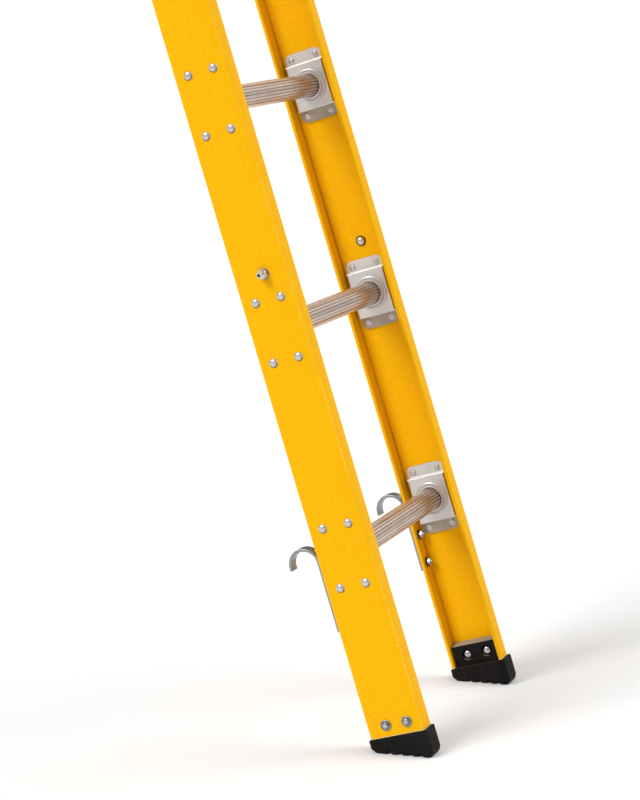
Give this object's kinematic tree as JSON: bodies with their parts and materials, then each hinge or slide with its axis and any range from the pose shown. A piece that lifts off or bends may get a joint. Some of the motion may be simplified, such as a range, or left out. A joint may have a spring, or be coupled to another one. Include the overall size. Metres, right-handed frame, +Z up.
{
  "type": "extension ladder",
  "caption": "Two-section push-up extension ladder with fibreglass channel rails, fluted aluminium rungs, rung hooks, guide straps and angled rubber feet, leaning at its working angle.",
  "frame": {"origin": "on the ground under the middle of the leaning ladder's depth and width, the bottom centre of its box", "axes": "+X across the ladder to the climber's right, +Y towards the wall, +Z up"},
  "size_m": [0.3834, 0.9078, 3.3265],
  "materials": {
    "frp_yellow": "pultruded fibreglass, satin, faint fibre veil",
    "rung_aluminium": "extruded, fluted, mill finish",
    "plate_aluminium": "stamped sheet, satin",
    "zinc_steel": "bright zinc plate",
    "fastener_steel": "zinc-plated, worn",
    "black_rubber": "moulded, matt",
    "black_plastic": "moulded"
  },
  "bodies": {
    "lower_section": {"lower_rail_L": "frp_yellow", "lower_rail_R": "frp_yellow", "lower_foot_L": "black_rubber", "lower_foot_R": "black_rubber", "lower_hook_L": "zinc_steel", "lower_hook_R": "zinc_steel", "lower_guide_L": "zinc_steel", "lower_guide_R": "zinc_steel", "lower_cap_L": "black_plastic", "lower_cap_R": "black_plastic", "lower_stop_bolt_L": "fastener_steel", "lower_stop_bolt_R": "fastener_steel", "lower_foot_bolt_L_front": "fastener_steel", "lower_foot_bolt_L_rear": "fastener_steel", "lower_foot_bolt_R_front": "fastener_steel", "lower_foot_bolt_R_rear": "fastener_steel", "lower_hook_screw_L_bottom": "fastener_steel", "lower_hook_screw_L_top": "fastener_steel", "lower_hook_screw_R_bottom": "fastener_steel", "lower_hook_screw_R_top": "fastener_steel", "lower_guide_bolt_L_front": "fastener_steel", "lower_guide_bolt_L_rear": "fastener_steel", "lower_guide_bolt_R_front": "fastener_steel", "lower_guide_bolt_R_rear": "fastener_steel", "lower_rung_1": "rung_aluminium", "lower_plate_L_1": "plate_aluminium", "lower_plate_R_1": "plate_aluminium", "lower_rung_2": "rung_aluminium", "lower_plate_L_2": "plate_aluminium", "lower_plate_R_2": "plate_aluminium", "lower_rung_3": "rung_aluminium", "lower_plate_L_3": "plate_aluminium", "lower_plate_R_3": "plate_aluminium", "lower_rung_4": "rung_aluminium", "lower_plate_L_4": "plate_aluminium", "lower_plate_R_4": "plate_aluminium", "lower_rung_5": "rung_aluminium", "lower_plate_L_5": "plate_aluminium", "lower_plate_R_5": "plate_aluminium", "lower_rung_6": "rung_aluminium", "lower_plate_L_6": "plate_aluminium", "lower_plate_R_6": "plate_aluminium", "lower_rung_7": "rung_aluminium", "lower_plate_L_7": "plate_aluminium", "lower_plate_R_7": "plate_aluminium"},
    "fly_section": {"fly_rail_L": "frp_yellow", "fly_rail_R": "frp_yellow", "fly_foot_L": "black_rubber", "fly_foot_R": "black_rubber", "fly_hook_L": "zinc_steel", "fly_hook_R": "zinc_steel", "fly_cap_L": "black_plastic", "fly_cap_R": "black_plastic", "fly_rung_1": "rung_aluminium", "fly_rung_2": "rung_aluminium", "fly_rung_3": "rung_aluminium", "fly_rung_4": "rung_aluminium", "fly_rung_5": "rung_aluminium", "fly_rung_6": "rung_aluminium", "fly_rung_7": "rung_aluminium"}
  },
  "joints": [
    {"name": "fly_slide", "type": "slide", "parent": "lower_section", "child": "fly_section", "axis": [0, 0.2588, 0.9659], "range_m": [-1.2, 0]}
  ]
}
